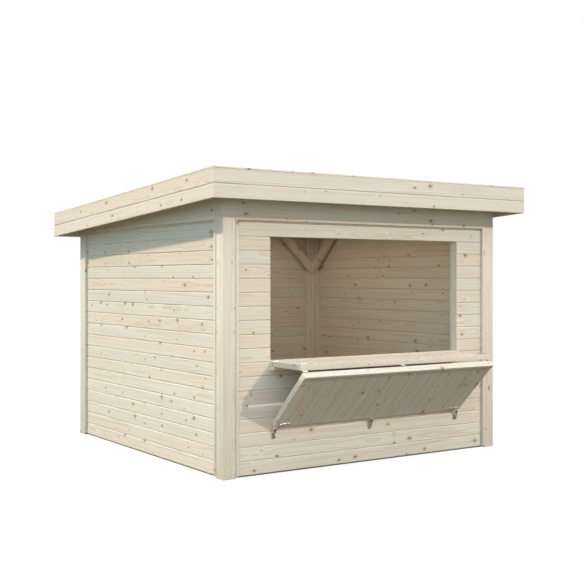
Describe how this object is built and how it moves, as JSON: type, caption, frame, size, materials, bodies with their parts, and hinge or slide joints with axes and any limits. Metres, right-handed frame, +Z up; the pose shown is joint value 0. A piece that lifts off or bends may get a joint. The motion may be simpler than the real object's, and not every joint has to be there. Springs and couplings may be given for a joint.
{
  "type": "wooden market stall",
  "caption": "Boarded timber market stall with a nearly flat roof and a folding serving hatch that opens into a counter.",
  "frame": {"origin": "on the ground, below the centre of the overall box with the hatch open", "axes": "+Z up, the serving opening faces -Y, +X to the right seen from the front"},
  "size_m": [3.39, 3.6622, 2.475],
  "materials": {
    "spruce": "unfinished planed spruce boards with small knots",
    "spruce_frame": "unfinished planed spruce framing",
    "spruce_fascia": "unfinished planed spruce fascia boards",
    "spruce_hatch": "unfinished planed spruce hatch boards",
    "treated_base": "pressure-treated base rails, grey-green",
    "roof_felt": "bitumen roof felt with fine mineral grit",
    "galvanized_steel": "bright zinc-plated sheet steel"
  },
  "bodies": {
    "stall": {"post_front_left": "spruce_frame", "post_front_right": "spruce_frame", "post_back_left": "spruce_frame", "post_back_right": "spruce_frame", "beam_front": "spruce_frame", "beam_back": "spruce_frame", "beam_left": "spruce_frame", "beam_right": "spruce_frame", "base_rails": "treated_base", "inner_stiles": "spruce_frame", "knee_braces": "spruce_frame", "wall_front_left": "spruce", "wall_front_right": "spruce", "wall_front_sill": "spruce", "wall_front_lintel": "spruce", "wall_back": "spruce", "wall_left": "spruce", "wall_right": "spruce", "trim_front": "spruce_frame", "trim_back": "spruce_frame", "trim_left": "spruce_frame", "trim_right": "spruce_frame", "opening_jambs": "spruce_frame", "opening_head": "spruce_frame", "opening_sill": "spruce_frame", "counter_ledger": "spruce", "rafters": "spruce_frame", "roof_deck": "spruce", "roof_felt": "roof_felt", "fascia_front": "spruce_fascia", "fascia_back": "spruce_fascia", "fascia_left": "spruce_fascia", "fascia_right": "spruce_fascia", "roof_cap": "spruce_fascia", "sill_hinge_leaves": "galvanized_steel", "hasp_loops": "galvanized_steel"},
    "counter": {"counter_boards": "spruce_hatch", "counter_battens": "spruce_hatch", "counter_hinge_leaves": "galvanized_steel", "counter_bolt_plates": "galvanized_steel"},
    "flap": {"flap_boards": "spruce_hatch", "flap_battens": "spruce_hatch", "flap_hinge_leaves": "galvanized_steel", "hasp_leaves": "galvanized_steel", "flap_bolt_plates": "galvanized_steel"},
    "hasp_left": {"hasp_left": "galvanized_steel"},
    "hasp_middle": {"hasp_middle": "galvanized_steel"},
    "hasp_right": {"hasp_right": "galvanized_steel"},
    "counter_bolt_left": {"counter_bolt_left": "galvanized_steel"},
    "counter_bolt_right": {"counter_bolt_right": "galvanized_steel"},
    "flap_bolt_left": {"flap_bolt_left": "galvanized_steel"},
    "flap_bolt_right": {"flap_bolt_right": "galvanized_steel"}
  },
  "joints": [
    {"name": "counter_hinge", "type": "hinge", "parent": "stall", "child": "counter", "pos_m": [0, -1.35886, 0.926], "axis": [-1, 0, 0], "range_deg": [0, 90]},
    {"name": "flap_hinge", "type": "hinge", "parent": "counter", "child": "flap", "pos_m": [0, -1.79186, 0.876], "axis": [-1, 0, 0], "range_deg": [0, 135.39]},
    {"name": "hasp_left_hinge", "type": "hinge", "parent": "flap", "child": "hasp_left", "pos_m": [-1.005, -1.36912, 0.38039], "axis": [-1, 0, 0], "range_deg": [0, 141]},
    {"name": "hasp_middle_hinge", "type": "hinge", "parent": "flap", "child": "hasp_middle", "pos_m": [0, -1.36912, 0.38039], "axis": [-1, 0, 0], "range_deg": [0, 141]},
    {"name": "hasp_right_hinge", "type": "hinge", "parent": "flap", "child": "hasp_right", "pos_m": [1.005, -1.36912, 0.38039], "axis": [-1, 0, 0], "range_deg": [0, 141]},
    {"name": "counter_bolt_left_slide", "type": "slide", "parent": "counter", "child": "counter_bolt_left", "axis": [-1, 0, 0], "range_m": [0, 0.048]},
    {"name": "counter_bolt_right_slide", "type": "slide", "parent": "counter", "child": "counter_bolt_right", "axis": [1, 0, 0], "range_m": [0, 0.048]},
    {"name": "flap_bolt_left_slide", "type": "slide", "parent": "flap", "child": "flap_bolt_left", "axis": [-1, 0, 0], "range_m": [0, 0.048]},
    {"name": "flap_bolt_right_slide", "type": "slide", "parent": "flap", "child": "flap_bolt_right", "axis": [1, 0, 0], "range_m": [0, 0.048]}
  ]
}
